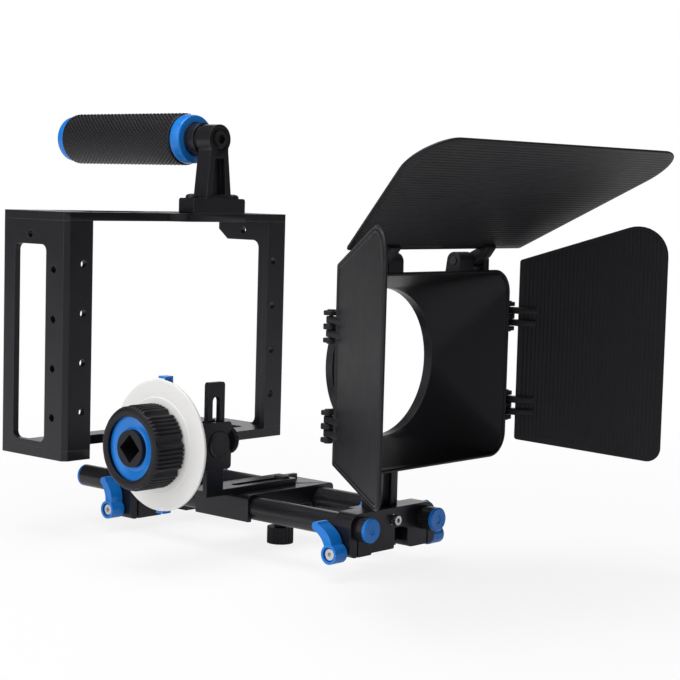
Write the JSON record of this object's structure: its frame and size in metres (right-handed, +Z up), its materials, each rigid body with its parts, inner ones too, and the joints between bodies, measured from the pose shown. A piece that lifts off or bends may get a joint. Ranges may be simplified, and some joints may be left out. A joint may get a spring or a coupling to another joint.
{
  "type": "camera cage rig with follow focus and matte box",
  "caption": "Black and blue camera cage with a rubber top handle, paired support rods, a follow focus and a matte box with hinged flags.",
  "frame": {"origin": "under the middle of the rig: on the middle line between the rods, at the height of the underside of the follow focus clamping screw", "axes": "+Z up, the lens looks along -Y, the focus knob is on the -X side"},
  "size_m": [0.2754, 0.4674, 0.2847],
  "materials": {
    "black_anodised": "black anodised, satin",
    "black_screws": "blackened steel",
    "bright_steel": "turned bright steel",
    "blue_anodised": "blue anodised, satin",
    "grip_rubber": "knurled matte rubber",
    "rod_tube": "black anodised, drawn tube",
    "white_plastic": "matte white",
    "black_plastic": "matte moulded"
  },
  "bodies": {
    "cage": {"cage_top": "black_anodised", "cage_bottom": "black_anodised", "cage_side_near": "black_anodised", "cage_side_far": "black_anodised", "cage_screws": "bright_steel", "handle_post": "black_anodised", "handle_screws": "black_screws", "handle_washer": "black_screws", "handle_bolt": "black_screws", "handle_core": "black_anodised", "handle_ring": "blue_anodised", "handle_grip": "grip_rubber", "handle_cap": "blue_anodised", "rear_clamp": "black_anodised", "rear_clamp_screws": "bright_steel", "rear_lever_screws": "bright_steel"},
    "camera_screw": {"camera_screw": "bright_steel"},
    "rear_lever_near": {"rear_lever_near": "blue_anodised"},
    "rear_lever_far": {"rear_lever_far": "blue_anodised"},
    "rods": {"rods": "rod_tube", "rod_plugs": "blue_anodised"},
    "ff_base": {"ff_clamp": "black_anodised", "ff_nut": "black_screws"},
    "ff_thumbscrew": {"ff_thumbscrew": "black_plastic"},
    "ff_bracket": {"ff_bracket": "black_anodised"},
    "ff_gearbox": {"ff_gearbox": "black_anodised", "ff_guide_pin": "black_screws", "ff_bearing": "bright_steel", "ff_pointer": "blue_anodised", "ff_pointer_screws": "bright_steel"},
    "ff_lock_knob": {"ff_lock_knob": "black_plastic"},
    "ff_knob": {"ff_knob": "black_plastic", "ff_knob_ring": "blue_anodised", "ff_disc": "white_plastic", "ff_shaft": "black_plastic", "ff_pinion": "bright_steel"},
    "ff_gear": {"ff_gear": "black_plastic", "ff_gear_bevel": "bright_steel", "ff_gear_screw": "bright_steel"},
    "mb_clamp": {"front_clamp": "black_anodised", "front_clamp_screw": "bright_steel", "front_lever_screws": "bright_steel", "post_keeper": "black_anodised", "keeper_screws": "bright_steel", "post_lever_screw": "bright_steel"},
    "front_lever_near": {"front_lever_near": "blue_anodised"},
    "front_lever_far": {"front_lever_far": "blue_anodised"},
    "post_lever": {"post_lever": "blue_anodised"},
    "matte_box": {"mb_post": "black_anodised", "mb_post_screws": "bright_steel", "lens_ring": "black_anodised", "shade": "black_plastic", "side_hinge_pins": "black_screws", "top_hinge_pins": "black_screws"},
    "flag_left": {"flag_left": "black_plastic"},
    "flag_right": {"flag_right": "black_plastic"},
    "flag_top": {"flag_top": "black_plastic"}
  },
  "joints": [
    {"name": "camera_screw_turn", "type": "hinge", "parent": "cage", "child": "camera_screw", "pos_m": [0, 0.12915, 0.053], "axis": [0, 0, 1], "continuous": true},
    {"name": "rear_lever_near_turn", "type": "hinge", "parent": "cage", "child": "rear_lever_near", "pos_m": [-0.045, 0.09715, 0.0145], "axis": [1, 0, 0], "range_deg": [-55, 55]},
    {"name": "rear_lever_far_turn", "type": "hinge", "parent": "cage", "child": "rear_lever_far", "pos_m": [0.045, 0.09715, 0.0145], "axis": [1, 0, 0], "range_deg": [-45, 60]},
    {"name": "rods_slide", "type": "slide", "parent": "cage", "child": "rods", "axis": [0, 1, 0], "range_m": [-0.035, 0.015]},
    {"name": "ff_slide", "type": "slide", "parent": "rods", "child": "ff_base", "axis": [0, 1, 0], "range_m": [-0.02, 0.03]},
    {"name": "ff_thumbscrew_turn", "type": "hinge", "parent": "ff_base", "child": "ff_thumbscrew", "pos_m": [0.0105, -0.00585, 0.005], "axis": [0, 0, 1], "continuous": true},
    {"name": "ff_bracket_slide", "type": "slide", "parent": "ff_base", "child": "ff_bracket", "axis": [1, 0, 0], "range_m": [0, 0.03]},
    {"name": "ff_gearbox_slide", "type": "slide", "parent": "ff_bracket", "child": "ff_gearbox", "axis": [0, 0, 1], "range_m": [-0.01, 0.02]},
    {"name": "ff_lock_knob_turn", "type": "hinge", "parent": "ff_gearbox", "child": "ff_lock_knob", "pos_m": [-0.045, -0.0121, 0.0745], "axis": [1, 0, 0], "continuous": true},
    {"name": "ff_knob_turn", "type": "hinge", "parent": "ff_gearbox", "child": "ff_knob", "pos_m": [-0.1, -0.00585, 0.075], "axis": [1, 0, 0], "continuous": true},
    {"name": "ff_gear_turn", "type": "hinge", "parent": "ff_gearbox", "child": "ff_gear", "pos_m": [-0.068, 0.01015, 0.075], "axis": [0, 1, 0], "continuous": true},
    {"name": "mb_clamp_slide", "type": "slide", "parent": "rods", "child": "mb_clamp", "axis": [0, 1, 0], "range_m": [-0.005, 0.025]},
    {"name": "front_lever_near_turn", "type": "hinge", "parent": "mb_clamp", "child": "front_lever_near", "pos_m": [-0.046, -0.10485, 0.016], "axis": [1, 0, 0], "range_deg": [-40, 55]},
    {"name": "front_lever_far_turn", "type": "hinge", "parent": "mb_clamp", "child": "front_lever_far", "pos_m": [0.046, -0.10485, 0.016], "axis": [1, 0, 0], "range_deg": [-40, 55]},
    {"name": "post_lever_turn", "type": "hinge", "parent": "mb_clamp", "child": "post_lever", "pos_m": [0, -0.08585, 0.018], "axis": [0, 1, 0], "range_deg": [-35, 30]},
    {"name": "matte_box_raise", "type": "slide", "parent": "mb_clamp", "child": "matte_box", "axis": [0, 0, 1], "range_m": [-0.008, 0.02]},
    {"name": "flag_left_turn", "type": "hinge", "parent": "matte_box", "child": "flag_left", "pos_m": [-0.0845, -0.13135, 0.129], "axis": [0, 0, -1], "range_deg": [-25, 57]},
    {"name": "flag_right_turn", "type": "hinge", "parent": "matte_box", "child": "flag_right", "pos_m": [0.0845, -0.13135, 0.129], "axis": [0, 0, 1], "range_deg": [-25, 57]},
    {"name": "flag_top_turn", "type": "hinge", "parent": "matte_box", "child": "flag_top", "pos_m": [0, -0.13085, 0.1925], "axis": [1, 0, 0], "range_deg": [-45, 30]}
  ],
  "couplings": [
    {"joint": "ff_gear_turn", "follows": "ff_knob_turn", "ratio": 1}
  ]
}
